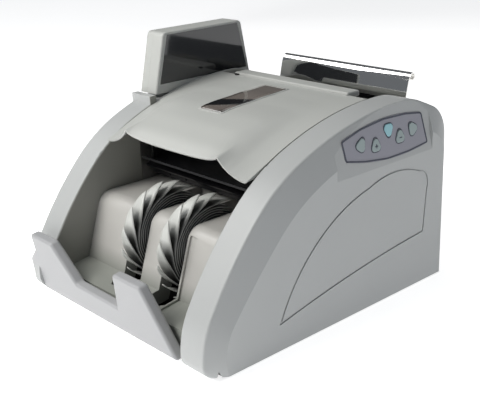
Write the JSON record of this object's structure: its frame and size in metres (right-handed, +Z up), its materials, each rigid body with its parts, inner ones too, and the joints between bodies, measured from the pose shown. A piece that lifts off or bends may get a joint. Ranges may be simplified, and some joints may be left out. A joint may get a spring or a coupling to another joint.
{
  "type": "banknote counting machine",
  "caption": "Desktop banknote counter: front note pocket with stacker wheels, lifting hood, tilting display, side keypad and sheet-metal hopper plate.",
  "frame": {"origin": "on the table, below the middle of the outside box", "axes": "+X right seen from the front, +Y to the rear, +Z up"},
  "size_m": [0.26, 0.3038, 0.222],
  "materials": {
    "casing": "fine-grained light grey moulding",
    "black_plastic": "satin black",
    "dark_window": "glossy dark tint",
    "wheel_plastic": "satin light grey",
    "chrome": "mirror",
    "steel": "brushed",
    "zinc_plate": "zinc-coated sheet",
    "rubber": "matt",
    "circuit_board": "green laminate",
    "membrane": "satin lavender-grey film",
    "key_plastic": "satin pale grey-green",
    "mode_key_plastic": "satin pale teal",
    "transformer_iron": "varnished",
    "pulley_plastic": "plain white"
  },
  "bodies": {
    "chassis": {"left_side_cover": "casing", "right_side_cover": "casing", "front_fascia": "casing", "note_pocket": "casing", "rear_cover": "casing", "hopper_bed": "casing", "lower_guide": "black_plastic", "exit_sensor_bar": "black_plastic", "base_tray": "black_plastic", "power_inlet": "black_plastic", "switch_frame": "black_plastic", "hopper_plate": "chrome", "tie_rods": "steel", "shaft_bearings": "steel", "hood_hinge_pins": "steel", "display_hinge_pin": "steel", "drive_motor": "steel", "tray_screws": "steel", "left_frame_plate": "zinc_plate", "right_frame_plate": "zinc_plate", "display_bracket": "zinc_plate", "rubber_feet": "rubber", "feed_belt": "rubber", "transport_belt": "rubber", "stacker_belt": "rubber", "pickup_belt": "rubber", "keypad_board": "circuit_board", "main_board": "circuit_board", "keypad_panel": "membrane", "power_transformer": "transformer_iron"},
    "hood": {"top_cover": "casing", "hood_window": "dark_window", "upper_guide": "black_plastic", "separation_roller": "rubber"},
    "display_head": {"display_rear_shell": "casing", "display_bezel": "casing", "display_window": "dark_window", "display_board": "circuit_board"},
    "stacker": {"left_stacker_wheel": "wheel_plastic", "right_stacker_wheel": "wheel_plastic", "stacker_shaft": "steel", "stacker_pulley": "pulley_plastic"},
    "transport": {"transport_shaft": "steel", "transport_rollers": "rubber", "transport_pulley": "pulley_plastic"},
    "feed": {"feed_shaft": "steel", "feed_rollers": "rubber", "feed_pulleys": "pulley_plastic"},
    "pickup": {"pickup_shaft": "steel", "pickup_rollers": "rubber", "pickup_pulley": "pulley_plastic"},
    "motor_rotor": {"motor_pulley": "pulley_plastic"},
    "rocker": {"switch_rocker": "black_plastic"},
    "gap_screw": {"gap_knob": "black_plastic"},
    "add_key_body": {"add_key": "key_plastic"},
    "plus_key_body": {"plus_key": "key_plastic"},
    "mode_key_body": {"mode_key": "mode_key_plastic"},
    "minus_key_body": {"minus_key": "key_plastic"},
    "set_key_body": {"set_key": "key_plastic"}
  },
  "joints": [
    {"name": "hood_hinge", "type": "hinge", "parent": "chassis", "child": "hood", "pos_m": [0, 0.07756, 0.163], "axis": [-1, 0, 0], "range_deg": [0, 45]},
    {"name": "display_tilt", "type": "hinge", "parent": "chassis", "child": "display_head", "pos_m": [-0.1074, 0.04856, 0.168], "axis": [0, -1, 0], "range_deg": [0, 12]},
    {"name": "stacker_spin", "type": "hinge", "parent": "chassis", "child": "stacker", "pos_m": [0, -0.06424, 0.0575], "axis": [1, 0, 0], "continuous": true},
    {"name": "transport_spin", "type": "hinge", "parent": "chassis", "child": "transport", "pos_m": [0, -0.00044, 0.104], "axis": [1, 0, 0], "continuous": true},
    {"name": "feed_spin", "type": "hinge", "parent": "chassis", "child": "feed", "pos_m": [0, 0.05956, 0.118], "axis": [1, 0, 0], "continuous": true},
    {"name": "pickup_spin", "type": "hinge", "parent": "chassis", "child": "pickup", "pos_m": [0, 0.10257, 0.124], "axis": [1, 0, 0], "continuous": true},
    {"name": "motor_spin", "type": "hinge", "parent": "chassis", "child": "motor_rotor", "pos_m": [-0.11, 0.09256, 0.04], "axis": [1, 0, 0], "continuous": true},
    {"name": "rocker_tip", "type": "hinge", "parent": "chassis", "child": "rocker", "pos_m": [0.0275, 0.13956, 0.0345], "axis": [1, 0, 0], "range_deg": [0, 14]},
    {"name": "gap_turn", "type": "hinge", "parent": "chassis", "child": "gap_screw", "pos_m": [0, 0.14056, 0.122], "axis": [0, 1, 0], "range_deg": [-180, 180]},
    {"name": "add_key_press", "type": "slide", "parent": "chassis", "child": "add_key_body", "axis": [-0.9875, 0, -0.1576], "range_m": [0, 0.0006], "stiffness_N_per_m": 600},
    {"name": "plus_key_press", "type": "slide", "parent": "chassis", "child": "plus_key_body", "axis": [-0.9875, 0, -0.1576], "range_m": [0, 0.0006], "stiffness_N_per_m": 600},
    {"name": "mode_key_press", "type": "slide", "parent": "chassis", "child": "mode_key_body", "axis": [-0.9875, 0, -0.1576], "range_m": [0, 0.0006], "stiffness_N_per_m": 600},
    {"name": "minus_key_press", "type": "slide", "parent": "chassis", "child": "minus_key_body", "axis": [-0.9875, 0, -0.1576], "range_m": [0, 0.0006], "stiffness_N_per_m": 600},
    {"name": "set_key_press", "type": "slide", "parent": "chassis", "child": "set_key_body", "axis": [-0.9875, 0, -0.1576], "range_m": [0, 0.0006], "stiffness_N_per_m": 600}
  ],
  "couplings": [
    {"joint": "motor_spin", "follows": "feed_spin", "ratio": 2},
    {"joint": "transport_spin", "follows": "feed_spin", "ratio": 1},
    {"joint": "pickup_spin", "follows": "feed_spin", "ratio": 1},
    {"joint": "stacker_spin", "follows": "feed_spin", "ratio": 0.7}
  ]
}
